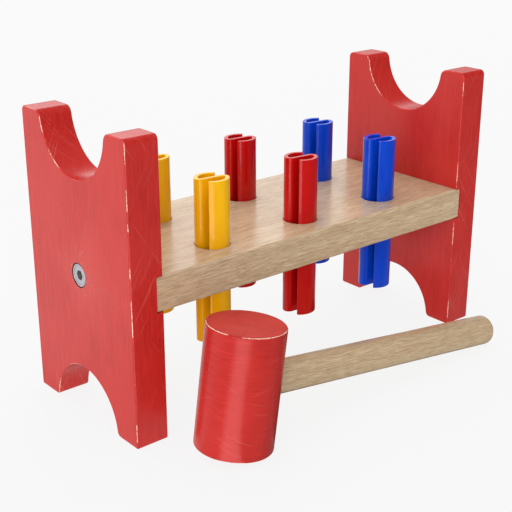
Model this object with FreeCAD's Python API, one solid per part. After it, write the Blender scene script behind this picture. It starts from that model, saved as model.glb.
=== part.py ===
"""A peg pounding bench: two end panels, a plank between them, six spring pegs and a hammer.

Millimetres, +Z up, the long way of the bench along X. The front of the bench faces -Y, and the
hammer lies on the floor in front of it. The origin is on the floor, in the middle of the box
that holds the bench and the hammer.
"""
import FreeCAD
import Part
import math
import os

V = FreeCAD.Vector

# End panels
bench_length = 256.0
panel_height = 160.5
panel_width = 95.2
panel_thickness = 19.0
panel_edge_radius = 0.8

# Hand hole at the top of a panel and arch between its feet
cutout_radius = 29.6
cutout_depth = 29.1
arch_radius = 29.3
arch_rise = 27.8
prong_inner_radius = 4.5
prong_outer_radius = 3.0
foot_inner_radius = 3.0
foot_outer_radius = 1.0

# Plank, let into a housing in the inner face of each panel
plank_thickness = 18.9
plank_inset = 0.3
plank_edge_radius = 1.4
plank_end_radius = 0.6
housing_depth = 3.9
housing_clearance = 0.05

# Spring pegs: an S-shaped wall, rolled so that it can squeeze into a round hole
peg_diameter = 18.8
peg_length = 91.2
peg_wall = 2.4
peg_bend_radius = 2.2
peg_tip_angle = 46.0
peg_turn_angle = -5.0
peg_tip_radius = 0.7
peg_end_radius = 0.4
peg_clearance = 0.06
peg_column_from_panel = 46.9
peg_row_from_edge = 21.2
peg_hole_edge_radius = 0.5
peg_table_gap = 0.6

# Bolts that pull the panels onto the plank, and the barrel nuts that they screw into
bolt_diameter = 6.0
bolt_length = 45.0
bolt_head_diameter = 12.7
bolt_head_rim = 0.6
bolt_head_recess = 0.25
bolt_tip_chamfer = 0.8
bolt_hole_clearance = 0.25
bolt_countersink_clearance = 0.3
bolt_tip_room = 2.0
socket_across_flats = 5.0
socket_depth = 2.8
nut_diameter = 10.0
nut_length = 14.0
nut_from_plank_end = 25.0
nut_edge_chamfer = 0.5
nut_slot_width = 1.6
nut_slot_depth = 1.5
nut_hole_clearance = 0.1
nut_end_room = 0.4
thread_clearance = 0.05

# Hammer
head_diameter = 40.9
head_length = 65.3
head_rim_radius = 1.1
handle_diameter = 17.6
handle_reach = 194.1
handle_end_radius = 2.6
handle_past_axis = 9.6
handle_clearance = 0.05
hammer_gap = 10.4
head_from_left_end = 41.6
hammer_lift = 170.0

# A cutting tool runs this far past the face that it cuts through
overrun = 5.0

# Two places nearer than this are the same place
same_place = 0.01

# Places worked out from the sizes above
set_depth = panel_width + hammer_gap + head_diameter
bench_y = (set_depth - panel_width) / 2
hammer_y = (head_diameter - set_depth) / 2
hammer_x = head_from_left_end - bench_length / 2
panel_inner_x = bench_length / 2 - panel_thickness
plank_end_x = panel_inner_x + housing_depth
plank_width = panel_width - 2 * plank_inset
plank_middle_height = panel_height / 2
plank_top = plank_middle_height + plank_thickness / 2
plank_bottom = plank_middle_height - plank_thickness / 2
peg_hole_radius = peg_diameter / 2 + peg_clearance
nut_x = plank_end_x - nut_from_plank_end
bolt_head_x = bench_length / 2 - bolt_head_recess
peg_column_spacing = panel_inner_x - peg_column_from_panel
peg_row_spacing = panel_width - 2 * peg_row_from_edge


def box(low, high):
    """A block between two corners."""
    size = high - low
    return Part.makeBox(size.x, size.y, size.z, low)


def edges_where(shape, wanted):
    """The edges of a shape whose bounding box passes a test."""
    return [edge for edge in shape.Edges if wanted(edge.BoundBox)]


def is_near(a, b):
    return abs(a - b) < same_place


def circle_point(centre, radius, angle):
    """A point of a circle in the XY plane, at an angle in degrees."""
    turn = math.radians(angle)
    return centre + V(radius * math.cos(turn), radius * math.sin(turn), 0)


def circle_arc(centre, radius, start, end):
    """The edge of a circle from one angle to another, in degrees."""
    middle = (start + end) / 2
    points = [circle_point(centre, radius, angle) for angle in (start, middle, end)]
    return Part.Arc(*points).toShape()


def to_left(shape):
    """A piece made for the left end of the bench, at its place."""
    placed = shape.copy()
    placed.translate(V(0, bench_y, 0))
    return placed


def to_right(shape):
    """The same piece at the right end: the left one turned half round."""
    placed = shape.copy()
    placed.rotate(V(0, 0, 0), V(0, 0, 1), 180)
    placed.translate(V(0, bench_y, 0))
    return placed


def panel_outline():
    """An end panel's block with its hand hole and its arch, all sharp."""
    left = -bench_length / 2
    half = panel_width / 2
    body = box(V(left, -half, 0), V(left + panel_thickness, half, panel_height))
    start = left - overrun
    length = panel_thickness + 2 * overrun
    cutout_middle = panel_height - cutout_depth + cutout_radius
    cutout = Part.makeCylinder(cutout_radius, length, V(start, 0, cutout_middle), V(1, 0, 0))
    cutout_top = max(cutout_middle, panel_height) + overrun
    throat = box(V(start, -cutout_radius, cutout_middle), V(start + length, cutout_radius, cutout_top))
    arch_middle = arch_rise - arch_radius
    arch = Part.makeCylinder(arch_radius, length, V(start, 0, arch_middle), V(1, 0, 0))
    arch_bottom = min(arch_middle, 0) - overrun
    gate = box(V(start, -arch_radius, arch_bottom), V(start + length, arch_radius, arch_middle))
    return body.cut([cutout, throat, arch, gate]).removeSplitter()


def round_panel(panel):
    """The corners of the outline first, then the edge all round both faces."""
    half = panel_width / 2

    def across(b):
        return is_near(b.XLength, panel_thickness) and b.YLength < same_place and b.ZLength < same_place

    def outer(b):
        return is_near(abs(b.YMin), half)

    corners = (
        (prong_inner_radius, lambda b: across(b) and is_near(b.ZMin, panel_height) and not outer(b)),
        (prong_outer_radius, lambda b: across(b) and is_near(b.ZMin, panel_height) and outer(b)),
        (foot_inner_radius, lambda b: across(b) and is_near(b.ZMin, 0) and not outer(b)),
        (foot_outer_radius, lambda b: across(b) and is_near(b.ZMin, 0) and outer(b)),
    )
    for radius, wanted in corners:
        panel = panel.makeFillet(radius, edges_where(panel, wanted))
    return panel.makeFillet(panel_edge_radius, edges_where(panel, lambda b: b.XLength < same_place))


def make_panel():
    """The left end panel, with its housing for the plank and its bolt hole."""
    panel = round_panel(panel_outline())
    half = panel_width / 2 + overrun
    slot_half = plank_thickness / 2 + housing_clearance
    housing = box(
        V(-plank_end_x, -half, plank_middle_height - slot_half),
        V(-panel_inner_x + overrun, half, plank_middle_height + slot_half),
    )
    hole_radius = bolt_diameter / 2 + bolt_hole_clearance
    hole_start = V(-bench_length / 2 - overrun, 0, plank_middle_height)
    hole = Part.makeCylinder(hole_radius, panel_thickness + 2 * overrun, hole_start, V(1, 0, 0))
    mouth_radius = bolt_head_diameter / 2 + bolt_countersink_clearance
    flat_depth = bolt_head_recess + bolt_head_rim
    mouth = Part.makeCylinder(mouth_radius, flat_depth + overrun, hole_start, V(1, 0, 0))
    cone_start = V(-bench_length / 2 + flat_depth, 0, plank_middle_height)
    cone = Part.makeCone(mouth_radius, hole_radius, mouth_radius - hole_radius, cone_start, V(1, 0, 0))
    return panel.cut([housing, hole, mouth, cone])


def peg_places():
    """Colour name, row name and middle of each peg hole, in the bench's own XY."""
    for column, colour in enumerate(("yellow", "red", "blue")):
        for row, side in enumerate(("front", "rear")):
            x = (column - 1) * peg_column_spacing
            y = (2 * row - 1) * peg_row_spacing / 2
            yield colour, side, V(x, y, 0)


def make_plank():
    """The plank, with its edges rounded, six peg holes and the bores for bolts and nuts."""
    half = plank_width / 2
    plank = box(V(-plank_end_x, -half, plank_bottom), V(plank_end_x, half, plank_top))
    long_edges = edges_where(plank, lambda b: is_near(b.XLength, 2 * plank_end_x))
    plank = plank.makeFillet(plank_edge_radius, long_edges)
    plank = plank.makeFillet(plank_end_radius, edges_where(plank, lambda b: b.XLength < same_place))
    tools = []
    for colour, side, place in peg_places():
        start = V(place.x, place.y, plank_bottom - overrun)
        tools.append(Part.makeCylinder(peg_hole_radius, plank_thickness + 2 * overrun, start))
    plank = plank.cut(tools)

    def hole_rim(b):
        return b.ZLength < same_place and is_near(b.XLength, 2 * peg_hole_radius)

    plank = plank.makeFillet(peg_hole_edge_radius, edges_where(plank, hole_rim))
    bolt_reach = bolt_head_x - bolt_length - bolt_tip_room
    bores = []
    for end in (-1, 1):
        mouth = V(end * (plank_end_x + overrun), 0, plank_middle_height)
        depth = plank_end_x + overrun - bolt_reach
        radius = bolt_diameter / 2 + bolt_hole_clearance
        bores.append(Part.makeCylinder(radius, depth, mouth, V(-end, 0, 0)))
        nut_radius = nut_diameter / 2 + nut_hole_clearance
        nut_mouth = V(end * nut_x, 0, plank_bottom - overrun)
        nut_depth = overrun + plank_thickness / 2 + nut_length / 2 + nut_end_room
        bores.append(Part.makeCylinder(nut_radius, nut_depth, nut_mouth))
    plank = plank.cut(bores)
    plank.translate(V(0, bench_y, 0))
    return plank


def hexagon(across_flats, depth, place, direction):
    """A six-sided prism on a point, with a corner upwards."""
    corner = across_flats / math.sqrt(3)
    points = [circle_point(V(0, 0, 0), corner, 60 * k) for k in range(7)]
    prism = Part.Face(Part.makePolygon(points)).extrude(V(0, 0, depth))
    prism.Placement = FreeCAD.Placement(place, FreeCAD.Rotation(V(0, 0, 1), direction))
    return prism


def make_bolt():
    """The left countersunk connector bolt, with a six-sided socket in its head."""
    inward = V(1, 0, 0)
    face = V(-bolt_head_x, 0, plank_middle_height)
    radius = bolt_diameter / 2
    head_radius = bolt_head_diameter / 2
    rim = Part.makeCylinder(head_radius, bolt_head_rim, face, inward)
    cone_start = face + inward * bolt_head_rim
    cone = Part.makeCone(head_radius, radius, head_radius - radius, cone_start, inward)
    shank_length = bolt_length - bolt_tip_chamfer
    shank = Part.makeCylinder(radius, shank_length, face, inward)
    tip_radius = radius - bolt_tip_chamfer
    tip = Part.makeCone(radius, tip_radius, bolt_tip_chamfer, face + inward * shank_length, inward)
    socket_start = face - inward * overrun
    socket = hexagon(socket_across_flats, socket_depth + overrun, socket_start, inward)
    return rim.fuse([cone, shank, tip]).removeSplitter().cut(socket)


def make_nut():
    """The left barrel nut: a round bar across the plank, with a cross hole and a driver slot."""
    low = plank_middle_height - nut_length / 2
    nut = Part.makeCylinder(nut_diameter / 2, nut_length, V(-nut_x, 0, low))
    nut = nut.makeChamfer(nut_edge_chamfer, edges_where(nut, lambda b: b.ZLength < same_place))
    reach = nut_diameter / 2 + overrun
    thread_radius = bolt_diameter / 2 + thread_clearance
    thread_start = V(-nut_x - reach, 0, plank_middle_height)
    thread = Part.makeCylinder(thread_radius, 2 * reach, thread_start, V(1, 0, 0))
    slot = box(
        V(-nut_x - reach, -nut_slot_width / 2, low - overrun),
        V(-nut_x + reach, nut_slot_width / 2, low + nut_slot_depth),
    )
    return nut.cut([thread, slot])


def peg_half_outline():
    """Half of the S: from the tip of the rear loop round its outside and along the front of the web,
    then back from the front loop's inside. The other half is this one turned half round."""
    outer = peg_diameter / 2
    middle = outer - peg_wall / 2
    inner = outer - peg_wall
    origin = V(0, 0, 0)
    reach = math.sqrt((middle - peg_bend_radius) ** 2 - peg_bend_radius ** 2)
    meet = 180 - math.degrees(math.atan2(peg_bend_radius, reach))
    rear_bend = V(-reach, peg_bend_radius, 0)
    front_bend = V(reach, -peg_bend_radius, 0)
    outside = peg_bend_radius + peg_wall / 2
    inside = peg_bend_radius - peg_wall / 2
    end = circle_point(origin, inner, peg_tip_angle - 180)
    return [
        circle_arc(origin, outer, peg_tip_angle, meet),
        circle_arc(rear_bend, outside, meet, 270),
        Part.LineSegment(V(-reach, -peg_wall / 2, 0), V(reach, -peg_wall / 2, 0)).toShape(),
        circle_arc(front_bend, inside, 90, meet - 180),
        circle_arc(origin, inner, meet - 180, peg_tip_angle - 180),
        Part.LineSegment(end, circle_point(origin, outer, peg_tip_angle - 180)).toShape(),
    ]


def make_peg():
    """One spring peg, standing on its lower end at the origin."""
    edges = peg_half_outline()
    for edge in list(edges):
        turned = edge.copy()
        turned.rotate(V(0, 0, 0), V(0, 0, 1), 180)
        edges.append(turned)
    wire = Part.Wire(Part.__sortEdges__(edges))
    peg = Part.Face(wire).extrude(V(0, 0, peg_length))
    tip_radii = (peg_diameter / 2, peg_diameter / 2 - peg_wall)
    tip_angles = (peg_tip_angle, peg_tip_angle - 180)
    tips = [circle_point(V(0, 0, 0), radius, angle) for radius in tip_radii for angle in tip_angles]

    def tip_corner(b):
        upright = is_near(b.ZLength, peg_length)
        return upright and any(is_near(b.XMin, tip.x) and is_near(b.YMin, tip.y) for tip in tips)

    peg = peg.makeFillet(peg_tip_radius, edges_where(peg, tip_corner))
    peg = peg.makeFillet(peg_end_radius, edges_where(peg, lambda b: b.ZLength < same_place))
    peg.rotate(V(0, 0, 0), V(0, 0, 1), peg_turn_angle)
    return peg


def hammer_tilt():
    """How far the hammer leans, in degrees: it lies on the rim of its head and the end of its handle."""
    rise = head_length / 2 - head_rim_radius - handle_diameter / 2 + handle_end_radius
    run = handle_reach - handle_end_radius - head_diameter / 2 + head_rim_radius
    across = math.hypot(rise, run)
    lean = math.atan2(rise, run) - math.asin((handle_end_radius - head_rim_radius) / across)
    return math.degrees(lean)


def lay_down(piece):
    """Leans a piece of the hammer, made about the middle of its head, and sets it on the floor."""
    lean = math.radians(hammer_tilt())
    rim_drop = (head_length / 2 - head_rim_radius) * math.cos(lean)
    side_drop = (head_diameter / 2 - head_rim_radius) * math.sin(lean)
    height = rim_drop + side_drop + head_rim_radius
    piece.rotate(V(0, 0, 0), V(0, 1, 0), math.degrees(lean))
    piece.translate(V(hammer_x, hammer_y, height))
    return piece


def make_hammer_head():
    """The turned head, with a blind bore in its side for the handle."""
    head = Part.makeCylinder(head_diameter / 2, head_length, V(0, 0, -head_length / 2))
    head = head.makeFillet(head_rim_radius, edges_where(head, lambda b: b.ZLength < same_place))
    bore_radius = handle_diameter / 2 + handle_clearance
    bore_depth = handle_past_axis + head_diameter / 2 + overrun
    bore = Part.makeCylinder(bore_radius, bore_depth, V(-handle_past_axis, 0, 0), V(1, 0, 0))
    return lay_down(head.cut(bore))


def make_hammer_handle():
    """The round handle, glued into the head's bore, with a softened far end."""
    length = handle_past_axis + handle_reach
    handle = Part.makeCylinder(handle_diameter / 2, length, V(-handle_past_axis, 0, 0), V(1, 0, 0))
    far_end = edges_where(handle, lambda b: b.XLength < same_place and is_near(b.XMin, handle_reach))
    return lay_down(handle.makeFillet(handle_end_radius, far_end))


def make_parts():
    """Every piece of the set by name, each at its place."""
    panel = make_panel()
    bolt = make_bolt()
    nut = make_nut()
    parts = {
        "end_panel_left": to_left(panel),
        "end_panel_right": to_right(panel),
        "plank": make_plank(),
        "connector_bolt_left": to_left(bolt),
        "connector_bolt_right": to_right(bolt),
        "barrel_nut_left": to_left(nut),
        "barrel_nut_right": to_right(nut),
    }
    peg = make_peg()
    peg_bottom = plank_middle_height - peg_length / 2
    for colour, side, place in peg_places():
        placed = peg.copy()
        placed.translate(place + V(0, bench_y, peg_bottom))
        parts["peg_" + colour + "_" + side] = placed
    parts["hammer_head"] = make_hammer_head()
    parts["hammer_handle"] = make_hammer_handle()
    return parts


def main():
    os.makedirs("parts", exist_ok=True)
    for name, shape in make_parts().items():
        shape.exportStep(os.path.join("parts", name + ".step"))
        b = shape.BoundBox
        print(
            "%-22s %-5s solids %d  x %.2f..%.2f  y %.2f..%.2f  z %.2f..%.2f  volume %.0f"
            % (name, shape.isValid(), len(shape.Solids), b.XMin, b.XMax, b.YMin, b.YMax, b.ZMin, b.ZMax, shape.Volume)
        )
    print("a peg travels %.2f either way" % (plank_middle_height - peg_length / 2 - peg_table_gap))
    print("the hammer leans %.2f degrees and lifts %.1f" % (hammer_tilt(), hammer_lift))


main()
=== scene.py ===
# %% [markdown]
# # A peg pounding bench
# A toddler's first workbench: two red end panels, a plank of lacquered wood between them, six springy
# plastic pegs and a small mallet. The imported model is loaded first. It holds every piece at its real
# size and place, in metres, so nothing here has to be fitted: a new piece reads its place from it.

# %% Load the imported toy
import math

import bmesh
import bpy
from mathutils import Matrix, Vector


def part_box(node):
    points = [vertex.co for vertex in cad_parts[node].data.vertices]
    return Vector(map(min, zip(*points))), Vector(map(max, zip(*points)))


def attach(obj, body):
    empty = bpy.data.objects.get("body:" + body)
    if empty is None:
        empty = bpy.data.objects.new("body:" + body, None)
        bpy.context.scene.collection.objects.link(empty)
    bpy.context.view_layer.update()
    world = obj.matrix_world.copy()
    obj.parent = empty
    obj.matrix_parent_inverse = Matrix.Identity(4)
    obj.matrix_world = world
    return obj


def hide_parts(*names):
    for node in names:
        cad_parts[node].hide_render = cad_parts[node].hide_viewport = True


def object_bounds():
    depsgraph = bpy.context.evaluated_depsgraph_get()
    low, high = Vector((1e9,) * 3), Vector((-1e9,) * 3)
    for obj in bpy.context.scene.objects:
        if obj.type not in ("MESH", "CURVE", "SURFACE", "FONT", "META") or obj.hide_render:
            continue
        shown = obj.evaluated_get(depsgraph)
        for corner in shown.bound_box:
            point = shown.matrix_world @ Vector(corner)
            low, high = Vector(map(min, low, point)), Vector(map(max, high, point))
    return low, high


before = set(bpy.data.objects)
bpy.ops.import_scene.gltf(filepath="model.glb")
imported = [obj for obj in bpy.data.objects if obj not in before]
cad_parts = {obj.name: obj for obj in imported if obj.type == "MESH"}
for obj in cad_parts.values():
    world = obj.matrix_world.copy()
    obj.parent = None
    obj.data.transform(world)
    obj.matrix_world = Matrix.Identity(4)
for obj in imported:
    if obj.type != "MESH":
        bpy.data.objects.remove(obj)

cad_box = [list(corner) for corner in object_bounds()]
print("the packed toy reaches from", cad_box[0], "to", cad_box[1])

# %% [markdown]
# An operator acts on everything that is selected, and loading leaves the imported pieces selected. So
# the lesson starts with nothing selected, and two helpers keep it so. One closes a piece. The other
# opens the primitive that was just added: its place goes into its mesh, because a finished piece
# keeps its object at the origin, unturned and unscaled.

# %% Open and close a piece
mm = 0.001
tiny = 0.005 * mm


def close_piece():
    """Back to object mode, with nothing selected."""
    if bpy.context.mode != "OBJECT":
        bpy.ops.object.mode_set(mode="OBJECT")
    bpy.ops.object.select_all(action="DESELECT")


def settle():
    """Puts the selected object's place and turn into its mesh."""
    bpy.ops.object.transform_apply(location=True, rotation=True, scale=True)


def open_piece(name):
    """Names the primitive that was just added, settles it and opens it in edit mode."""
    piece = bpy.context.object
    piece.name = name
    settle()
    bpy.ops.object.mode_set(mode="EDIT")
    return piece


close_piece()

# %% [markdown]
# By hand, faces and edges are clicked. In code they are picked by where they are or which way they
# face, with one helper that takes a test. The small functions after it serve in such tests.

# %% Pick by a test
along_x = Vector((1, 0, 0))
facing_limit = 0.99


def pick(kind, wanted):
    """In edit mode, selects only the vertices, edges or faces that pass a test, and counts them."""
    bpy.ops.mesh.select_mode(type=kind)
    bpy.ops.mesh.select_all(action="DESELECT")
    mesh = bpy.context.object.data
    shape = bmesh.from_edit_mesh(mesh)
    items = {"VERT": shape.verts, "EDGE": shape.edges, "FACE": shape.faces}[kind]
    chosen = [item for item in items if wanted(item)]
    for item in chosen:
        item.select_set(True)
    bmesh.update_edit_mesh(mesh)
    return len(chosen)


def ends(edge):
    """The two end points of an edge."""
    return edge.verts[0].co, edge.verts[1].co


def is_near(a, b):
    """Whether two numbers are the same but for rounding."""
    return abs(a - b) < tiny


def lies_across(edge, axis):
    """Whether an edge lies square to the axis x, y or z."""
    start, end = ends(edge)
    return is_near(getattr(start, axis), getattr(end, axis))


def looks(face, way):
    """Whether a face looks along a direction, give or take 8 degrees."""
    return face.normal.dot(way) > facing_limit


# %% [markdown]
# ## An end panel
# The real panel is sawn from 19 mm board along one outline: a hand hole at the top, an arch between
# the feet, small round corners. It could be cut from a cube with cylinders, but then the corners
# where a curve meets a straight edge are hard to round. So the outline is drawn as with a pen.
# A vertex is extruded along straight runs and spun round the arcs, and the face is filled last.

# %% Sizes of a panel
panel_low, panel_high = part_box("end_panel_left")
plank_low, plank_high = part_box("plank")
bench_y = (panel_low.y + panel_high.y) / 2
plank_z = (plank_low.z + plank_high.z) / 2
panel_height = panel_high.z
half_width = (panel_high.y - panel_low.y) / 2
panel_thickness = panel_high.x - panel_low.x
cutout_radius = 29.6 * mm
cutout_depth = 29.1 * mm
arch_radius = 29.3 * mm
arch_rise = 27.8 * mm
prong_inner_radius = 4.5 * mm
prong_outer_radius = 3.0 * mm
foot_inner_radius = 3.0 * mm
foot_outer_radius = 1.0 * mm
panel_edge_radius = 0.8 * mm
pen_step = 2 * mm
pen_turn = math.radians(9)
print("a panel is", round(panel_height / mm, 1), "mm high and", round(2 * half_width / mm, 1), "mm wide")

# %% A pen on the panel's outer face


def on_face(y, z):
    """A point of the panel's outer face, with y measured from the bench's middle."""
    return Vector((panel_low.x, bench_y + y, z))


def start_pen(name, place):
    """A new piece in edit mode that is only one selected vertex, at a place."""
    bpy.ops.mesh.primitive_plane_add(size=pen_step, location=place)
    piece = open_piece(name)
    bpy.ops.mesh.select_mode(type="VERT")
    bpy.ops.mesh.select_all(action="SELECT")
    bpy.ops.mesh.merge(type="CENTER")
    return piece


def pen_place():
    """Where the one selected vertex is."""
    shape = bmesh.from_edit_mesh(bpy.context.object.data)
    return next(vertex.co.copy() for vertex in shape.verts if vertex.select)


def extrude(way):
    """Extrudes what is selected and moves the new part of it."""
    bpy.ops.mesh.extrude_region_move(TRANSFORM_OT_translate={"value": way})


# %% Straight runs and arcs


def line_to(target):
    """Extrudes the pen's vertex in even steps to a point."""
    way = target - pen_place()
    steps = max(1, round(way.length / pen_step))
    for step in range(steps):
        extrude(way / steps)


def arc_to(target, centre, turn):
    """Spins the pen's vertex about a centre to a point. A turn of 1 goes from up to the back."""
    start, end = [math.atan2(point.y - centre.y, point.z - centre.z) for point in (pen_place(), target)]
    sweep = (end - start) * turn % math.tau
    steps = math.ceil(max(sweep / pen_turn, sweep * (target - centre).length / pen_step))
    bpy.ops.mesh.spin(steps=steps, angle=sweep * turn, center=centre, axis=(1, 0, 0))


def corner_beside(circle, radius, height, corner):
    """The middle of a round corner between a circle and a level edge, and where it leaves the circle."""
    across = math.sqrt((radius + corner) ** 2 - (height - circle.z) ** 2)
    middle = on_face(across, height)
    return middle, circle + (middle - circle) * radius / (radius + corner)


# %% Draw half the outline, from the top of the arch to the bottom of the hand hole
arch = on_face(0, arch_rise - arch_radius)
hole = on_face(0, panel_height - cutout_depth + cutout_radius)
foot, foot_start = corner_beside(arch, arch_radius, foot_inner_radius, foot_inner_radius)
prong, prong_end = corner_beside(hole, cutout_radius, panel_height - prong_inner_radius, prong_inner_radius)

panel = start_pen("red_panel_left", on_face(0, arch_rise))
arc_to(foot_start, arch, 1)
arc_to(on_face(foot.y - bench_y, 0), foot, -1)
line_to(on_face(half_width - foot_outer_radius, 0))
foot_corner = on_face(half_width - foot_outer_radius, foot_outer_radius)
arc_to(on_face(half_width, foot_outer_radius), foot_corner, -1)
line_to(on_face(half_width, panel_height - prong_outer_radius))
prong_corner = on_face(half_width - prong_outer_radius, panel_height - prong_outer_radius)
arc_to(on_face(half_width - prong_outer_radius, panel_height), prong_corner, -1)
line_to(on_face(prong.y - bench_y, panel_height))
arc_to(prong_end, prong, -1)
arc_to(on_face(0, panel_height - cutout_depth), hole, 1)
print("half the outline has", len(bmesh.from_edit_mesh(panel.data).verts), "points")

# %% Mirror the half, fill it and give it its thickness
bpy.ops.mesh.select_all(action="SELECT")
bpy.ops.mesh.duplicate()
bpy.ops.transform.resize(value=(1, -1, 1), center_override=on_face(0, 0))
bpy.ops.mesh.select_all(action="SELECT")
bpy.ops.mesh.remove_doubles(threshold=tiny)
bpy.ops.mesh.edge_face_add()
extrude((panel_thickness, 0, 0))
bpy.ops.mesh.select_all(action="SELECT")
bpy.ops.mesh.normals_make_consistent(inside=False)
print("the panel's outline has", pick("VERT", lambda vertex: is_near(vertex.co.x, panel_low.x)), "points")

# %% Round the rim of both faces


def round_edges(radius, segments):
    """Rounds the selected edges."""
    bpy.ops.mesh.bevel(offset=radius, segments=segments, profile=0.5, affect="EDGES")


rim_edges = pick("EDGE", lambda edge: lies_across(edge, "x"))
round_edges(panel_edge_radius, 4)
close_piece()
print("rounded", rim_edges, "edges to", panel_edge_radius / mm, "mm")

# %% [markdown]
# The plank's end sits in a housing, a groove sawn across the panel's inner face, and the bolt's head
# in a countersink. Both are cut from the finished blank on the real panel too, so they are cut here
# with a Boolean modifier. The countersink's cutter is a cylinder whose end is extruded and drawn in,
# as the drill's own shape is.

# %% A saw


def only(piece):
    """Selects one object and makes it the active one."""
    close_piece()
    bpy.context.view_layer.objects.active = piece
    piece.select_set(True)


def apply_modifier(piece, kind, **settings):
    """Adds a modifier, sets it and applies it."""
    only(piece)
    modifier = piece.modifiers.new("made", kind)
    for name, value in settings.items():
        setattr(modifier, name, value)
    bpy.ops.object.modifier_apply(modifier="made")


def cut(piece, cutter):
    """Cuts the cutter's shape out of a piece, and throws the cutter away."""
    close_piece()
    apply_modifier(piece, "BOOLEAN", operation="DIFFERENCE", solver="EXACT", object=cutter)
    bpy.data.objects.remove(cutter)


# %% Saw the housing
housing_clearance = 0.05 * mm
overrun = 5 * mm
housing_high = plank_z + (plank_high.z - plank_low.z) / 2 + housing_clearance
housing_depth = panel_high.x - plank_low.x
housing_size = Vector((housing_depth + overrun, 2 * (half_width + overrun), 2 * (housing_high - plank_z)))
housing_place = (plank_low.x + housing_size.x / 2, bench_y, plank_z)
bpy.ops.mesh.primitive_cube_add(size=1, location=housing_place, scale=housing_size)
settle()
cut(panel, bpy.context.object)
print("the housing is", round(housing_depth / mm, 1), "mm deep")

# %% Drill the bolt hole
bolt_face_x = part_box("connector_bolt_left")[0].x
bolt_head_radius = 6.35 * mm
bolt_head_rim = 0.6 * mm
bolt_radius = 3 * mm
bolt_hole_radius = bolt_radius + 0.25 * mm
mouth_radius = bolt_head_radius + 0.1 * mm


def add_bar(corners, radius, length, middle):
    """Adds a cylinder that lies along x."""
    bpy.ops.mesh.primitive_cylinder_add(
        vertices=corners, radius=radius, depth=length, location=middle, rotation=(0, math.pi / 2, 0)
    )


mouth_length = bolt_face_x + bolt_head_rim - panel_low.x + overrun
mouth_place = (panel_low.x - overrun + mouth_length / 2, bench_y, plank_z)
add_bar(64, mouth_radius, mouth_length, mouth_place)
drill = open_piece("drill")
pick("FACE", lambda face: looks(face, along_x))
extrude((mouth_radius - bolt_hole_radius, 0, 0))
narrowing = bolt_hole_radius / mouth_radius
bpy.ops.transform.resize(value=(1, narrowing, narrowing), center_override=mouth_place)
extrude((panel_thickness, 0, 0))
cut(panel, drill)
print("the left panel has", len(panel.data.polygons), "faces")

# %% [markdown]
# The right panel is the left one turned half round. Each has its own mesh, so that each can wear in
# its own places.

# %% Copy the panel for the other end


def copy_of(piece, name):
    """A copy of a piece with a mesh of its own."""
    twin = piece.copy()
    twin.data = piece.data.copy()
    twin.name = name
    bpy.context.scene.collection.objects.link(twin)
    return twin


def turned_copy(piece, name):
    """A copy, turned half round about the bench's middle."""
    twin = copy_of(piece, name)
    twin.rotation_euler.z = math.pi
    twin.location.y = 2 * bench_y
    only(twin)
    settle()
    return twin


panel_right = turned_copy(panel, "red_panel_right")
print("made", panel_right.name)

# %% [markdown]
# ## Worn edges
# Paint is thinnest on an edge, and that is where a mallet and a toy box knock it off. Each vertex
# gets an attribute that says how worn it is, which the paint's material reads later. It is strong
# at spots chosen from the photograph and faint on every other edge. That faint level turns every rim
# a little pale: rubbed paint, and a painted highlight along the rounding as well. The same numbers
# are the weights of a Displace modifier, which dents the wood there by a fraction of a millimetre.
# The photograph shows the left panel's outer face and the right one's inner face, so the spots lie
# on their rims.

# %% Where the edges are worn
knock_depth = 0.3 * mm
knock_size = 4 * mm
left_x = panel_low.x
right_x = -panel_high.x
front_y = panel_low.y


def worn_edge(x, y, *stretches):
    """Spots down an upright edge, from the lowest and highest point of each worn stretch in mm."""
    return [(Vector((x, y, (low + high) / 2 * mm)), (high - low) / 2 * mm) for low, high in stretches]


def worn_rim(x, *spots):
    """Spots on the rim of a panel's face, from the place along y and z and the reach of each in mm."""
    return [(Vector((x, y * mm, z * mm)), reach * mm) for y, z, reach in spots]


left_spots = worn_edge(left_x, front_y, (4, 15), (61, 82), (92, 99), (116, 120), (126, 137), (149, 160))
left_spots += worn_rim(left_x, (63, 158, 6), (56, 153, 5), (43, 138, 6), (4, 136, 4), (36, 29, 8), (54, 6, 6))
right_spots = worn_edge(right_x, front_y, (3, 17), (54, 68), (93, 106), (146, 156))
right_spots += worn_rim(right_x, (53, 152, 9), (48, 139, 5))
print("worn spots:", len(left_spots), "on the left panel and", len(right_spots), "on the right one")

# %% [markdown]
# A vertex on a rim looks halfway between two faces, at 45 degrees to both, so its normal tells that
# it is on one. The wear is fullest there and falls off on both sides. A spot is at its strongest near
# its middle and ends a little beyond its reach.

# %% Write the wear into the mesh
halfway = math.sqrt(0.5)
rim_sharpness = 2.6
spot_spread = 1.2
spot_strength = 3
most_worn = 0.9
panel_wear_and_sheen = 0.4
clouds = bpy.data.textures.new("knocks", "CLOUDS")
clouds.noise_scale = knock_size


def in_housing(place):
    """Whether a point is on the groove that holds the plank, where nothing can knock."""
    return abs(place.x) < plank_high.x + tiny and abs(place.z - plank_z) < housing_high - plank_z + tiny


def wear_edges(piece, across, spots, everywhere):
    """Marks and dents the rims, where a vertex looks halfway between a direction and its sides."""
    marks = []
    for vertex in piece.data.vertices:
        along = min(1, abs(vertex.normal.dot(across)))
        rim = max(0, 1 - rim_sharpness * abs(along - halfway))
        close = max([0] + [1 - (vertex.co - place).length / (spot_spread * reach) for place, reach in spots])
        mark = max(everywhere, min(most_worn, spot_strength * close)) * rim
        marks.append(0 if in_housing(vertex.co) else mark)
    group = piece.vertex_groups.new(name="knocks")
    for index, mark in enumerate(marks):
        group.add([index], mark, "REPLACE")
    piece.data.attributes.new("wear_and_edge_sheen", "FLOAT", "POINT").data.foreach_set("value", marks)
    print(piece.name, "is worn at", sum(mark > 0 for mark in marks), "of its", len(marks), "vertices")
    dents = {"texture": clouds, "strength": -knock_depth, "mid_level": 0, "vertex_group": "knocks"}
    apply_modifier(piece, "DISPLACE", **dents)
    piece.vertex_groups.clear()


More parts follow.
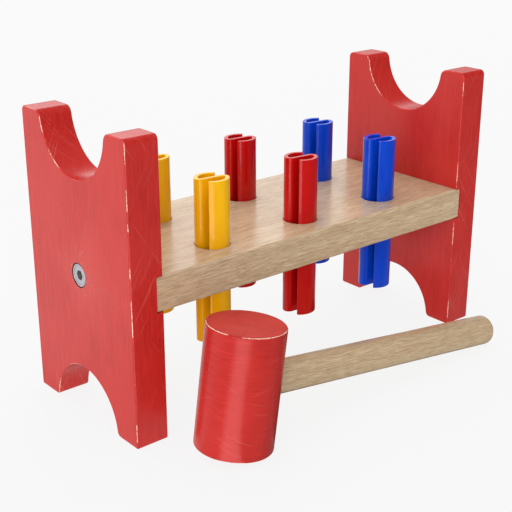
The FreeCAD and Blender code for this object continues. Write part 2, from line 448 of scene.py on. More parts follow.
wear_edges(panel, along_x, left_spots, panel_wear_and_sheen)
wear_edges(panel_right, along_x, right_spots, panel_wear_and_sheen)

# %% [markdown]
# A rounded edge beside a large flat face shades badly if all normals are plain averages: the flat
# looks pillowed. Weighted normals let the large face win, so that only the rounding turns.

# %% Smooth the panels
crease = math.radians(40)


def smooth(piece):
    """Smooth shading that keeps flats flat and leaves sharp corners sharp."""
    only(piece)
    bpy.ops.object.shade_smooth_by_angle(angle=crease)
    apply_modifier(piece, "WEIGHTED_NORMAL", keep_sharp=True)
    print(piece.name, "is smooth, and edges over", round(math.degrees(crease)), "degrees stay sharp")


for red_panel in (panel, panel_right):
    smooth(red_panel)

# %% [markdown]
# ## The plank
# Planed board with its long edges rounded over and its ends eased, bored for six pegs. The holes are
# cut first, and then only the circles that they leave in the top and bottom face are bevelled.

# %% Round the board
plank_edge_radius = 1.4 * mm
plank_end_radius = 0.6 * mm
bpy.ops.mesh.primitive_cube_add(size=1, location=(plank_low + plank_high) / 2, scale=plank_high - plank_low)
plank = open_piece("natural_plank")
pick("EDGE", lambda edge: not lies_across(edge, "x"))
round_edges(plank_edge_radius, 5)
pick("EDGE", lambda edge: lies_across(edge, "x"))
round_edges(plank_end_radius, 3)
close_piece()
print("the plank is", [round(side / mm, 1) for side in plank_high - plank_low], "mm")

# %% Bore it for the pegs, the bolts and the nuts
peg_radius = 9.4 * mm
peg_clearance = 0.06 * mm
peg_hole_edge_radius = 0.5 * mm
nut_hole_radius = 5.1 * mm
bolt_tip_room = 2 * mm
small_hole_corners = 48
pegs = [(colour, side) for colour in ("yellow", "red", "blue") for side in ("front", "rear")]


def middle_of(node):
    """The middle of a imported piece's box."""
    low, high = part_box(node)
    return (low + high) / 2


def bore(piece, radius, start, end, corners=96):
    """Bores a round hole from one point to another."""
    way = end - start
    turn = way.to_track_quat("Z", "Y").to_euler()
    bpy.ops.mesh.primitive_cylinder_add(
        vertices=corners, radius=radius, depth=way.length, location=(start + end) / 2, rotation=turn
    )
    settle()
    cut(piece, bpy.context.object)


above = plank_high.z + overrun
below = plank_low.z - overrun
peg_axes = {peg: middle_of("peg_%s_%s" % peg) for peg in pegs}
for axis in peg_axes.values():
    bore(plank, peg_radius + peg_clearance, Vector((axis.x, axis.y, below)), Vector((axis.x, axis.y, above)))
for end in ("left", "right"):
    nut_low, nut_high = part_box("barrel_nut_" + end)
    nut = (nut_low + nut_high) / 2
    nut_mouth = Vector((nut.x, nut.y, below))
    bore(plank, nut_hole_radius, nut_mouth, Vector((nut.x, nut.y, nut_high.z)), small_hole_corners)
    bolt_low, bolt_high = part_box("connector_bolt_" + end)
    tip_x = (bolt_high.x + bolt_tip_room) if end == "left" else (bolt_low.x - bolt_tip_room)
    bolt_mouth = Vector((math.copysign(panel_low.x, tip_x), nut.y, plank_z))
    bore(plank, bolt_hole_radius, bolt_mouth, Vector((tip_x, nut.y, plank_z)), small_hole_corners)
print("the bored plank has", len(plank.data.polygons), "faces")

# %% Ease the holes


def in_peg_hole(edge):
    """Whether an edge is part of the circle that a peg hole leaves in the plank's top or bottom."""
    a, b = ends(edge)
    if not is_near(a.z, b.z) or not (is_near(a.z, plank_high.z) or is_near(a.z, plank_low.z)):
        return False
    reach = peg_radius + peg_clearance + tiny
    return any(
        (a - axis).to_2d().length < reach and (b - axis).to_2d().length < reach for axis in peg_axes.values()
    )


only(plank)
bpy.ops.object.mode_set(mode="EDIT")
hole_edges = pick("EDGE", in_peg_hole)
round_edges(peg_hole_edge_radius, 3)
smooth(plank)
print("eased", hole_edges, "edges of the peg holes")

# %% [markdown]
# ## A spring peg
# Each peg is one moulded wall, an S seen from above. Two loops can squeeze together, so the peg grips
# its hole and still gives way to the mallet. The wall is drawn as it bends: its thin edge is spun
# round the loop, round the tight bend, run straight through the middle and spun back the other way.

# %% Sizes of a peg
peg_low, peg_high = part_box("peg_yellow_front")
peg_length = peg_high.z - peg_low.z
peg_wall = 2.4 * mm
peg_bend_radius = 2.2 * mm
peg_tip_angle = math.radians(46)
peg_turn = math.radians(-5)
peg_tip_radius = 0.7 * mm
peg_end_radius = 0.4 * mm
loop_steps = 40
bend_steps = 14
loop_radius = peg_radius - peg_wall / 2
bend_reach = math.sqrt((loop_radius - peg_bend_radius) ** 2 - peg_bend_radius ** 2)
bend_angle = math.pi - math.atan2(peg_bend_radius, bend_reach)
print("a peg is", round(peg_length / mm, 1), "mm long")
print("its wall bends at", round(math.degrees(bend_angle), 1), "degrees")

# %% Draw the wall


def round_from(radius, angle):
    """A point at a radius and an angle about the peg's axis."""
    return Vector((radius * math.cos(angle), radius * math.sin(angle), 0))


def spin_wall(centre, angle, steps):
    """Spins the wall's edge about an upright axis. A positive angle turns anticlockwise."""
    bpy.ops.mesh.spin(steps=steps, angle=-angle, center=centre, axis=(0, 0, 1))


tip_outer = round_from(peg_radius, peg_tip_angle)
tip_inner = round_from(peg_radius - peg_wall, peg_tip_angle)
peg = start_pen("spring_peg", tip_outer)
extrude(tip_inner - tip_outer)
bpy.ops.mesh.select_all(action="SELECT")
bpy.ops.mesh.select_mode(type="EDGE")
spin_wall(Vector(), bend_angle - peg_tip_angle, loop_steps)
spin_wall(Vector((-bend_reach, peg_bend_radius, 0)), 1.5 * math.pi - bend_angle, bend_steps)
extrude((2 * bend_reach, 0, 0))
spin_wall(Vector((bend_reach, -peg_bend_radius, 0)), bend_angle - 1.5 * math.pi, bend_steps)
spin_wall(Vector(), peg_tip_angle - bend_angle, loop_steps)
print("the wall is drawn with", len(bmesh.from_edit_mesh(peg.data).verts), "points")

# %% Raise it and round its corners
bpy.ops.mesh.select_all(action="SELECT")
extrude((0, 0, peg_length))
bpy.ops.mesh.select_all(action="SELECT")
bpy.ops.mesh.normals_make_consistent(inside=False)
tips = [tip_outer, tip_inner, -tip_outer, -tip_inner]


def at_tip(edge):
    """Whether an upright edge is a corner of a tip."""
    a, b = ends(edge)
    return not is_near(a.z, b.z) and any((a - tip).to_2d().length < tiny for tip in tips)


def around_end(edge):
    """Whether an edge runs round the top or the bottom of the wall, beside an upright face."""
    upright = [is_near(face.normal.z, 0) for face in edge.link_faces]
    return any(upright) and not all(upright)


tip_edges = pick("EDGE", at_tip)
round_edges(peg_tip_radius, 4)
end_edges = pick("EDGE", around_end)
round_edges(peg_end_radius, 3)
smooth(peg)
print("rounded", tip_edges, "tip corners and", end_edges, "end edges")

# %% [markdown]
# The peg is modelled once and copied six times. Each copy gets its own mesh, because its place goes
# into it.

# %% Put a peg in each hole
spring_pegs = {}
for key, axis in peg_axes.items():
    spring_pegs[key] = copy_of(peg, "spring_peg_%s_%s" % key)
    spring_pegs[key].location = (axis.x, axis.y, peg_low.z)
    spring_pegs[key].rotation_euler.z = peg_turn
    only(spring_pegs[key])
    settle()
bpy.data.objects.remove(peg)
print("placed", len(spring_pegs), "pegs")

# %% [markdown]
# ## The mallet
# A head turned on a lathe and a dowel glued into its side. It lies on the rim of its head and the end
# of its handle, so it leans a little. Both pieces are modelled straight, about the middle of the
# head, and then laid down together by the lean that their sizes give.

# %% Sizes of the mallet, and how it lies
head_radius = 20.45 * mm
head_length = 65.3 * mm
head_rim_radius = 1.1 * mm
handle_radius = 8.8 * mm
handle_reach = 194.1 * mm
handle_end_radius = 2.6 * mm
handle_past_axis = 9.6 * mm
handle_clearance = 0.05 * mm

rise = head_length / 2 - head_rim_radius - handle_radius + handle_end_radius
run = handle_reach - handle_end_radius - head_radius + head_rim_radius
lean = math.atan2(rise, run) - math.asin((handle_end_radius - head_rim_radius) / math.hypot(rise, run))
head_middle = middle_of("hammer_head")


def lay_down(piece):
    """Leans a piece of the mallet and moves it to its place."""
    piece.rotation_euler.y = lean
    piece.location = head_middle
    only(piece)
    settle()


print("the mallet leans", round(math.degrees(lean), 2), "degrees")

# %% Turn the head and bore it
bpy.ops.mesh.primitive_cylinder_add(vertices=160, radius=head_radius, depth=head_length)
head = open_piece("mallet_head")
pick("EDGE", lambda edge: lies_across(edge, "z"))
round_edges(head_rim_radius, 6)
# Only the two flat ends have more than four corners.
pick("FACE", lambda face: len(face.verts) > 4)
bpy.ops.mesh.inset(thickness=2 * head_rim_radius, depth=0, use_individual=True)
close_piece()
bore_start = Vector((-handle_past_axis, 0, 0))
bore_end = Vector((head_radius + overrun, 0, 0))
bore(head, handle_radius + handle_clearance, bore_start, bore_end)
lay_down(head)
print("the head has", len(head.data.polygons), "faces")

# %% Round the handle
handle_length = handle_past_axis + handle_reach
add_bar(96, handle_radius, handle_length, ((handle_reach - handle_past_axis) / 2, 0, 0))
handle = open_piece("mallet_handle")
pick("EDGE", lambda edge: min(point.x for point in ends(edge)) > handle_reach - tiny)
round_edges(handle_end_radius, 8)
close_piece()
lay_down(handle)
print("the handle is", round(handle_length / mm, 1), "mm long")

# %% Wear the head's rims and smooth both pieces
head_wear_and_sheen = 0.3
rim_spot_reach = 5 * mm
worn_degrees = (150, 165, 178, 190, 238, 250, 262, 275, 288, 300)
head_axis = Vector((math.sin(lean), 0, math.cos(lean)))
head_right = Vector((math.cos(lean), 0, -math.sin(lean)))
head_back = Vector((0, 1, 0))


def on_top_rim(degrees):
    """A point of the head's top rim, at an angle from its right side towards the back."""
    angle = math.radians(degrees)
    outwards = head_right * math.cos(angle) + head_back * math.sin(angle)
    return head_middle + head_axis * head_length / 2 + outwards * head_radius


rim_spots = [(on_top_rim(degrees), rim_spot_reach) for degrees in worn_degrees]
wear_edges(head, head_axis, rim_spots, head_wear_and_sheen)
smooth(head)
smooth(handle)

# %% [markdown]
# ## A connector bolt
# A countersunk furniture bolt: turned from bar, with a shallow recess in its face and a six-sided
# socket pressed into it. Its head is a cylinder; the cone, the shank and the pointed tip are drawn
# out of its inner end by extruding and narrowing, as the lathe leaves them.

# %% Turn the bolt
bolt_length = 45 * mm
bolt_tip_chamfer = 0.8 * mm
face_rim = 0.9 * mm
face_recess = 0.25 * mm
face_edge_radius = 0.4 * mm
socket_across_flats = 5 * mm
socket_depth = 2.8 * mm
bolt_face = Vector((bolt_face_x, bench_y, plank_z))


def draw_out(length, radius_before, radius_after):
    """Extrudes the selected end inwards and narrows it."""
    extrude((length, 0, 0))
    narrowing = radius_after / radius_before
    bpy.ops.transform.resize(value=(1, narrowing, narrowing), center_override=bolt_face)


add_bar(96, bolt_head_radius, bolt_head_rim, bolt_face + Vector((bolt_head_rim / 2, 0, 0)))
bolt = open_piece("zinc_bolt_left")
pick("FACE", lambda face: looks(face, along_x))
cone_length = bolt_head_radius - bolt_radius
shank_length = bolt_length - bolt_head_rim - cone_length - bolt_tip_chamfer
draw_out(cone_length, bolt_head_radius, bolt_radius)
draw_out(shank_length, bolt_radius, bolt_radius)
draw_out(bolt_tip_chamfer, bolt_radius, bolt_radius - bolt_tip_chamfer)
pick("EDGE", lambda edge: max(point.x for point in ends(edge)) < bolt_face.x + tiny)
round_edges(face_edge_radius, 3)
pick("FACE", lambda face: looks(face, -along_x))
bpy.ops.mesh.inset(thickness=face_rim - face_edge_radius, depth=0)
bpy.ops.mesh.inset(thickness=face_recess, depth=-face_recess)
close_piece()
print("the turned bolt has", len(bolt.data.polygons), "faces")

# %% Press the socket
add_bar(6, socket_across_flats / math.sqrt(3), 2 * socket_depth, bolt_face)
settle()
cut(bolt, bpy.context.object)
smooth(bolt)
bolt_right = turned_copy(bolt, "zinc_bolt_right")
print("the bolt has", len(bolt.data.polygons), "faces")

# %% [markdown]
# ## Finishes
# Every finish below is mixed from nodes. Colours are written as on a paint card, in sRGB hex, and
# turned to the linear values that Blender works in. One function adds a node, sets it and joins it
# up. Each finish is then two short tables: its patterns, which are noises with a size in millimetres
# along each axis, and its coats, which lay a colour wherever a pattern lies between two levels.

# %% Colours and sizes


def linear(card):
    """The linear colour of an sRGB hex value."""
    shares = [int(card[place:place + 2], 16) / 255 for place in (0, 2, 4)]
    return tuple(
        share / 12.92 if share <= 0.04045 else ((share + 0.055) / 1.055) ** 2.4 for share in shares
    ) + (1,)


def per(*sizes):
    """How often a pattern repeats along each axis, from its size there in mm."""
    return tuple(1 / (size * mm) for size in sizes)


# %% Nodes
soft_ends = {"interpolation_type": "SMOOTHSTEP"}
colour_mix = {"output": 2, "data_type": "RGBA"}
# A Mix node has inputs for each kind of data: its factor, its two numbers and its two colours.
factor, number_a, number_b, colour_a, colour_b = 0, 2, 3, 6, 7


def add(tree, kind, inputs=(), output=0, **settings):
    """Adds a node, sets it, sets or joins its inputs by number or name, and returns an output."""
    node = tree.nodes.new("ShaderNode" + kind)
    for name, value in settings.items():
        setattr(node, name, value)
    for key, value in inputs.items() if isinstance(inputs, dict) else enumerate(inputs):
        if isinstance(value, bpy.types.NodeSocket):
            tree.links.new(value, node.inputs[key])
        else:
            node.inputs[key].default_value = value
    return node.outputs[output]


def new_material(name):
    """An empty material and its node tree."""
    material = bpy.data.materials.new(name)
    material.use_nodes = True
    material.node_tree.nodes.clear()
    return material, material.node_tree


def finished(material, shader):
    """Joins a shader to the material's output and returns the material."""
    tree = material.node_tree
    tree.links.new(shader, tree.nodes.new("ShaderNodeOutputMaterial").inputs["Surface"])
    print(material.name, "has", len(tree.nodes), "nodes")
    return material


# %% [markdown]
# ### Red enamel on wood
# Semi-gloss enamel, sprayed on sanded wood. The eye sees a strong red with a soft shine, the grain
# faintly raised through the paint, a few crossed hairlines where things slid over it, and pale wood
# where an edge is chipped through. The hairlines are noise drawn out 100 times longer than wide, in
# frames that stand at a slant to every face, because a sheet of noise that lies flat in a face shows
# as a blot. The broad faces keep only a share of them.

# %% Scratch the paint
scratch_size = (0.42, 45, 45)
scratch_softness = 0.06
scratch_share = 0.5
repeats_apart = 7
broad_from = 0.95
broad_full = 0.99


def hairlines(tree, place, slants, level, broad, broad_share):
    """How scratched the paint is, and how squarely a face looks along broad, where only a share shows."""
    scratches = 0.0
    for number, slant in enumerate(slants):
        turned = add(tree, "Mapping", {"Vector": place, "Rotation": slant}, vector_type="TEXTURE")
        shift = (repeats_apart * number,) * 3
        scaled = add(tree, "Mapping", {"Vector": turned, "Scale": per(*scratch_size), "Location": shift})
        line = add(tree, "TexNoise", {"Vector": scaled, "Scale": 1, "Detail": 1})
        line = add(tree, "MapRange", [line, level, level + scratch_softness, 0, scratch_share], **soft_ends)
        scratches = add(tree, "Math", [line, scratches])
    along = add(tree, "TexCoord", output="Normal")
    along = add(tree, "VectorMath", [along, broad], 1, operation="DOT_PRODUCT")
    along = add(tree, "Math", [along], operation="ABSOLUTE")
    share = add(tree, "MapRange", [along, broad_from, broad_full, 1, broad_share], **soft_ends)
    return add(tree, "Math", [scratches, share], operation="MULTIPLY"), along


# %% [markdown]
# The paint chips where the wear attribute and a ragged noise together pass a level, so chips hug the
# edges and end raggedly. A dark red border rims each chip, and where the attribute is low an edge
# turns a little pale: rubbed paint, and a painted highlight along the rounding as well. The noise is
# 1 mm across, as the photograph's smallest chips are. It lies about 0.5, so half of the raggedness
# is taken off again.

# %% Mix the enamel
raggedness = 1.6
broad_grain_factor = 3.5
soil_and_light_from = 0.97


def enamel(name, middle, turn, grain_size, grain_height, slants, level, broad, broad_share, soil_and_top_light):
    """Red paint. Its grain and scratches follow a frame with its middle and turn on the piece."""
    material, tree = new_material(name)
    coordinates = add(tree, "TexCoord", output="Object")
    own_frame = {"Vector": coordinates, "Location": middle, "Rotation": turn}
    place = add(tree, "Mapping", own_frame, vector_type="TEXTURE")
    patterns = []
    for size, detail in (
        (grain_size, 4),
        ([broad_grain_factor * side for side in grain_size], 2),
        ((30, 30, 45), 3),
        ((1, 1, 1.8), 5),
        ((0.9, 0.9, 0.9), 2),
    ):
        scaled = add(tree, "Mapping", {"Vector": place, "Scale": per(*size)})
        noise = {"Vector": scaled, "Scale": 1, "Detail": detail, "Roughness": 0.6}
        patterns.append(add(tree, "TexNoise", noise))
    grain, broad_grain, clouding, ragged, orange_peel = patterns
    scratches, along = hairlines(tree, place, slants, level, broad, broad_share)
    wear_and_edge_sheen = add(tree, "Attribute", output="Fac", attribute_name="wear_and_edge_sheen")
    bare = add(tree, "Math", [wear_and_edge_sheen, -raggedness / 2])
    bare = add(tree, "Math", [ragged, raggedness, bare], operation="MULTIPLY_ADD")
    # Paler, duller mottles on the broad faces: soil, and on the head's top painted light, the brightness that
    # light from above gives it.
    tint_and_painted_light = add(tree, "MapRange", [along, soil_and_light_from, broad_full, 0, soil_and_top_light])
    tint_and_painted_light = add(tree, "Math", [tint_and_painted_light, ragged], operation="MULTIPLY")
    # Inside the bolt's countersink and just round its mouth the paint turns near black: painted shade in the
    # crevice round the bolt's head.
    in_face = add(tree, "VectorMath", [coordinates, (0, 1, 1)], operation="MULTIPLY")
    bolt_shade_distance = add(tree, "VectorMath", [in_face, (0, bench_y, plank_z)], 1, operation="DISTANCE")
    colour = linear("C12A25")
    for pattern, low, high, most, card in (
        (grain, 0.42, 0.62, 1, "AD1E1A"),
        (broad_grain, 0.4, 0.65, 0.7, "B4231E"),
        (clouding, 0.35, 0.65, 0.6, "C22E28"),
        # Paler mottles: soil, and painted light on the head's top.
        (tint_and_painted_light, 0.02, 0.2, 0.5, "D8483C"),
        (scratches, 0, 1, 1, "DC7A70"),
        # A pale line on every rim: rubbed paint, and a painted highlight along the rounding.
        (wear_and_edge_sheen, 0.2, 0.5, 0.4, "D2564E"),
        # Near black round the bolt's mouth: painted shade in the crevice.
        (bolt_shade_distance, mouth_radius + 0.35 * mm, mouth_radius + 0.1 * mm, 0.9, "3A100D"),
        (bare, 0.5, 0.58, 1, "861814"),
        (bare, 0.58, 0.68, 1, "F2D2BA"),
    ):
        share = add(tree, "MapRange", [pattern, low, high, 0, most], **soft_ends)
        colour = add(tree, "Mix", {factor: share, colour_a: colour, colour_b: linear(card)}, **colour_mix)
    chipped = share
    height = add(tree, "Math", [grain, grain_height], operation="MULTIPLY")
    for pattern, lift in ((orange_peel, 0.12), (scratches, -0.3), (chipped, -1)):
        height = add(tree, "Math", [pattern, lift, height], operation="MULTIPLY_ADD")
    bump = add(tree, "Bump", {"Height": height, "Strength": 0.6, "Distance": 0.08 * mm})
    roughness = 0.19
    for pattern, more in ((chipped, 0.3), (tint_and_painted_light, 2), (grain, 0.14)):
        roughness = add(tree, "Math", [pattern, more, roughness], operation="MULTIPLY_ADD")
    surface = {"Base Color": colour, "Roughness": roughness, "Normal": bump, "Specular IOR Level": 0.34}
    return finished(material, add(tree, "BsdfPrincipled", surface))


# %% [markdown]
# The panels and the head take the same paint, but the grain and the scratches run another way on
# each. The level is what the noise has to pass to be a hairline, so a higher one leaves fewer. The
# broad faces look along broad, and soil is how far handling has dulled and paled them. On the head's
# top the paling is also painted light: it makes the top as bright as light from above would.

# %% Paint the panels and the mallet's head
unturned = (0, 0, 0)
leaning = (0, lean, 0)
panel_paint = enamel(
    "Red enamel on board",
    middle=(0, bench_y, 0),
    turn=unturned,
    grain_size=(0.9, 0.9, 18),
    grain_height=0.4,
    slants=[(0, math.radians(-30), math.radians(turn)) for turn in (20, 160)],
    level=0.68,
    broad=along_x,
    broad_share=0.05,
    soil_and_top_light=0,
)
head_paint = enamel(
    "Red enamel on turned wood",
    middle=head_middle,
    turn=leaning,
    grain_size=(8, 8, 0.5),
    grain_height=0.7,
    slants=[(0, math.radians(-62), math.radians(turn)) for turn in (-75, 120)],
    level=0.735,
    broad=head_axis,
    broad_share=0.2,
    soil_and_top_light=0.25,
)

# %% [markdown]
# ### Lacquered wood
# A pale close-grained hardwood, planed and given clear lacquer. The eye sees long fine streaks, short
# dark flecks of open grain, broad bands that go from cream to tan, and a satin sheen that blurs what
# it mirrors. Streaks are noise drawn out along the board, a third of a millimetre across and 11 mm
# long. That is coarser than real: the fibres are ten times finer, too fine to see at this distance.
# A slow noise bends the grain a little on its way, as a tree does.

# %% Mix the wood
grain_sway = 2.4 * mm


def wood(name, middle, turn, pale, tan, strength):
    """Lacquered wood whose grain runs along x in a frame with its middle and turn on the piece."""
    material, tree = new_material(name)
    coordinates = add(tree, "TexCoord", output="Object")
    own_frame = {"Vector": coordinates, "Location": middle, "Rotation": turn}
    place = add(tree, "Mapping", own_frame, vector_type="TEXTURE")
    scaled = add(tree, "Mapping", {"Vector": place, "Scale": per(45, 14, 14)})
    sway = add(tree, "TexNoise", {"Vector": scaled, "Scale": 1, "Detail": 1, "Roughness": 0.62})
    sway = add(tree, "VectorMath", [sway, (0, grain_sway, grain_sway)], operation="MULTIPLY")
    place = add(tree, "VectorMath", [place, sway], operation="ADD")
    patterns = []
    for size, detail in (((260, 9, 9), 2), ((90, 1.4, 1.4), 3), ((11, 0.36, 0.36), 4), ((7, 0.35, 0.35), 2)):
        scaled = add(tree, "Mapping", {"Vector": place, "Scale": per(*size)})
        noise = {"Vector": scaled, "Scale": 1, "Detail": detail, "Roughness": 0.62}
        patterns.append(add(tree, "TexNoise", noise))
    bands, rings, streaks, flecks = patterns
    colour = linear(pale)
    for pattern, low, high, most, card in (
        (bands, 0.32, 0.68, 1, tan),
        (rings, 0.45, 0.7, 0.2, "9C7C5E"),
        (streaks, 0.5, 0.64, 0.8, "8F7050"),
        (streaks, 0.47, 0.33, 0.75, "E6D5BE"),
        (flecks, 0.58, 0.68, 0.7, "6A4C36"),
    ):
        share = add(tree, "MapRange", [pattern, low, high, 0, most * strength], **soft_ends)
        colour = add(tree, "Mix", {factor: share, colour_a: colour, colour_b: linear(card)}, **colour_mix)
    open_grain = share
    height = add(tree, "Math", [open_grain, -0.6], operation="MULTIPLY")
    height = add(tree, "Math", [streaks, 0.5, height], operation="MULTIPLY_ADD")
    bump = add(tree, "Bump", {"Height": height, "Strength": 0.35, "Distance": 0.06 * mm})
    roughness = add(tree, "Math", [streaks, 0.15, 0.17], operation="MULTIPLY_ADD")
    surface = {"Base Color": colour, "Roughness": roughness, "Normal": bump}
    return finished(material, add(tree, "BsdfPrincipled", surface))


# %% Wood for the plank and the handle
plank_wood = wood("Lacquered plank", (0, bench_y, plank_z), unturned, "C7AE8D", "B49573", strength=0.64)
handle_wood = wood("Lacquered dowel", head_middle, leaning, "C5AD8B", "B49775", strength=0.62)

# %% [markdown]
# ### Moulded plastic
# Polyethylene, coloured all through and glossy from a polished mould. The eye sees clear colour, sharp
# window-like highlights that waver a little down the walls, and the fine upright scuffs that a peg
# gets from its hole.

# %% Mix the plastics


def plastic(name, card, deep):
    """Glossy plastic, a little uneven in colour and scuffed along z."""
    material, tree = new_material(name)
    coordinates = add(tree, "TexCoord", output="Object")
    patterns = []
    for size in ((9, 9, 26), (0.3, 0.3, 14), (4, 4, 18)):
        scaled = add(tree, "Mapping", {"Vector": coordinates, "Scale": per(*size)})
        patterns.append(add(tree, "TexNoise", {"Vector": scaled, "Scale": 1, "Detail": 2}))
    flow, scuffs, ripple = patterns
    share = add(tree, "MapRange", [flow, 0.3, 0.7], **soft_ends)
    colour = add(tree, "Mix", {factor: share, colour_a: linear(card), colour_b: linear(deep)}, **colour_mix)
    scuff = add(tree, "MapRange", [scuffs, 0.66, 0.74], **soft_ends)
    height = add(tree, "Math", [scuff, -0.1, ripple], operation="MULTIPLY_ADD")
    bump = add(tree, "Bump", {"Height": height, "Strength": 0.2, "Distance": 0.08 * mm})
    roughness = add(tree, "Math", [scuff, 0.15, 0.13], operation="MULTIPLY_ADD")
    surface = {"Base Color": colour, "Roughness": roughness, "Normal": bump, "Specular IOR Level": 0.35}
    return finished(material, add(tree, "BsdfPrincipled", surface))


# %% Three colours of plastic
yellow_plastic = plastic("Yellow plastic", "F2B80C", "EDAC06")
red_plastic = plastic("Red plastic", "BD0D0B", "B50A09")
blue_plastic = plastic("Blue plastic", "0743C4", "043AB8")

# %% [markdown]
# ### Zinc-plated steel
# Turned bar under bright zinc. The eye sees a cool grey face with the lathe's fine rings, a brighter
# rim, and dull grey dust down in the socket, where it hides the metal. The face inside the rim is
# greyer, and painted shade darkens the corner of the recess and the crevice round the head. All of
# it is placed by its distance from the piece's own axis: the mask named across keeps only the two
# coordinates across that axis.

# %% Mix the metals
ring_spacing = 0.35 * mm
radial_softness = 0.1
recess_x = -bolt_face_x - face_recess
dust_from_x = recess_x - 0.1 * mm
dust_full_x = recess_x - 0.5 * mm


def steel(name, centre, across, card, tints_and_shade, socket_radius):
    """Plated steel, turned about an axis. Tints and painted shade are a table of radius, reach, share and
    colour, in mm.
    """
    material, tree = new_material(name)
    coordinates = add(tree, "TexCoord", output="Object")
    coordinates = add(tree, "VectorMath", [coordinates], operation="ABSOLUTE")
    place = add(tree, "Mapping", {"Vector": coordinates, "Location": centre}, vector_type="TEXTURE")
    flat = add(tree, "VectorMath", [place, across], operation="MULTIPLY")
    radius = add(tree, "VectorMath", [flat], 1, operation="LENGTH")
    lathe_marks = {"W": radius, "Scale": 1 / ring_spacing, "Detail": 3}
    rings = add(tree, "TexNoise", lathe_marks, noise_dimensions="1D")
    scaled = add(tree, "Mapping", {"Vector": place, "Scale": per(1.6, 1.6, 1.6)})
    stains = add(tree, "TexNoise", {"Vector": scaled, "Scale": 1, "Detail": 4, "Roughness": 0.6})
    share = add(tree, "MapRange", [stains, 0.5, 0.75, 0, 0.5], **soft_ends)
    stained = {factor: share, colour_a: linear(card), colour_b: linear("9A9690")}
    colour = add(tree, "Mix", stained, **colour_mix)
    tint_and_shade = 0.0
    for middle, reach, most, tint_and_shade_card in tints_and_shade:
        away = add(tree, "Math", [radius, -middle * mm])
        away = add(tree, "Math", [away], operation="ABSOLUTE")
        full_reach = reach - radial_softness
        share = add(tree, "MapRange", [away, reach * mm, full_reach * mm, 0, most], **soft_ends)
        tint_and_painted_light = {factor: share, colour_a: colour, colour_b: linear(tint_and_shade_card)}
        colour = add(tree, "Mix", tint_and_painted_light, **colour_mix)
        tint_and_shade = add(tree, "Math", [tint_and_shade, share], operation="MAXIMUM")
    deep = add(tree, "SeparateXYZ", [coordinates])
    deep = add(tree, "MapRange", [deep, dust_from_x, dust_full_x])
    inside = add(tree, "MapRange", [radius, (socket_radius + radial_softness) * mm, socket_radius * mm])
    dull_share = add(tree, "Math", [deep, inside], operation="MULTIPLY")
    colour = add(tree, "Mix", {factor: dull_share, colour_a: colour, colour_b: linear("6A665E")}, **colour_mix)
    dull_share = add(tree, "Math", [tint_and_shade, dull_share], operation="MAXIMUM")
    bump = add(tree, "Bump", {"Height": rings, "Strength": 0.3, "Distance": 0.02 * mm})
    roughness = add(tree, "Math", [dull_share, 0.4, 0.2], operation="MULTIPLY_ADD")
    roughness = add(tree, "Math", [rings, 0.1, roughness], operation="MULTIPLY_ADD")
    metal = add(tree, "Math", [1.0, dull_share], operation="SUBTRACT")
    surface = {"Base Color": colour, "Roughness": roughness, "Normal": bump, "Metallic": metal}
    return finished(material, add(tree, "BsdfPrincipled", surface))


# %% Zinc for the bolts, and none for the nuts
# The face inside the rim is greyer; the dark ring in the recess's corner and the near black ring round the
# head are painted shade.
zinc = steel(
    "Zinc-plated steel",
    centre=(0, bench_y, plank_z),
    across=(0, 1, 1),
    card="D5D3D7",
    tints_and_shade=[(2.6, 2.6, 0.5, "908E9A"), (5.2, 0.25, 0.6, "5C5852"), (6.5, 0.6, 1, "2A0D0A")],
    socket_radius=2.9,
)
# The dark ring round the nut's end is painted shade, in the gap between the nut and its hole.
nut_steel = steel(
    "Plain steel",
    centre=(middle_of("barrel_nut_right").x, bench_y, 0),
    across=(1, 1, 0),
    card="B9B5AC",
    tints_and_shade=[(5.1, 0.4, 0.6, "4A443C")],
    socket_radius=0,
)

# %% [markdown]
# ## Dress the toy
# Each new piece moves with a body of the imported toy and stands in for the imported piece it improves.
# The barrel nuts are hidden in the plank except for their slotted ends, so they keep their shape.

# %% Hand the pieces over
dressed = [
    (panel, "bench", "end_panel_left", panel_paint, "panel_paint"),
    (panel_right, "bench", "end_panel_right", panel_paint, "panel_paint"),
    (plank, "bench", "plank", plank_wood, "plank_wood"),
    (bolt, "bench", "connector_bolt_left", zinc, "zinc_steel"),
    (bolt_right, "bench", "connector_bolt_right", zinc, "zinc_steel"),
    (head, "hammer", "hammer_head", head_paint, "head_paint"),
    (handle, "hammer", "hammer_handle", handle_wood, "handle_wood"),
]
plastics = {"yellow": yellow_plastic, "red": red_plastic, "blue": blue_plastic}
for (colour, side), spring_peg in spring_pegs.items():
    body = colour + "_" + side
    dressed.append((spring_peg, body, "peg_" + body, plastics[colour], colour + "_plastic"))
for piece, body, node, material, slot in dressed:
    piece.data.materials.clear()
    piece.data.materials.append(material)
    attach(piece, body)
    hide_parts(node)
for node in ("barrel_nut_left", "barrel_nut_right"):
    nut_mesh = bpy.data.objects[node].data
    nut_mesh.materials.clear()
    nut_mesh.materials.append(nut_steel)
print("dressed", len(dressed), "pieces")

# %% [markdown]
# ## Floor, light and camera
# The toy stands on a pale floor that runs into a pale world. To the camera both are one colour, so no
# horizon shows, and a little of the floor's own light and shade is left in it for the soft shadow.
# The floor also lights the toy from below, evenly, as a lit table does. So the faces under the plank
# stay bright.

# %% Lay the floor
floor_size = 60
bpy.ops.mesh.primitive_plane_add(size=floor_size)
floor = bpy.context.object
floor.name = "pale_floor"
floor_paint, tree = new_material("Pale floor")
floor.data.materials.append(floor_paint)
light_path = tree.nodes.new("ShaderNodeLightPath")
spot = add(tree, "TexCoord", output="Object")
print("the floor is", floor_size, "m wide")

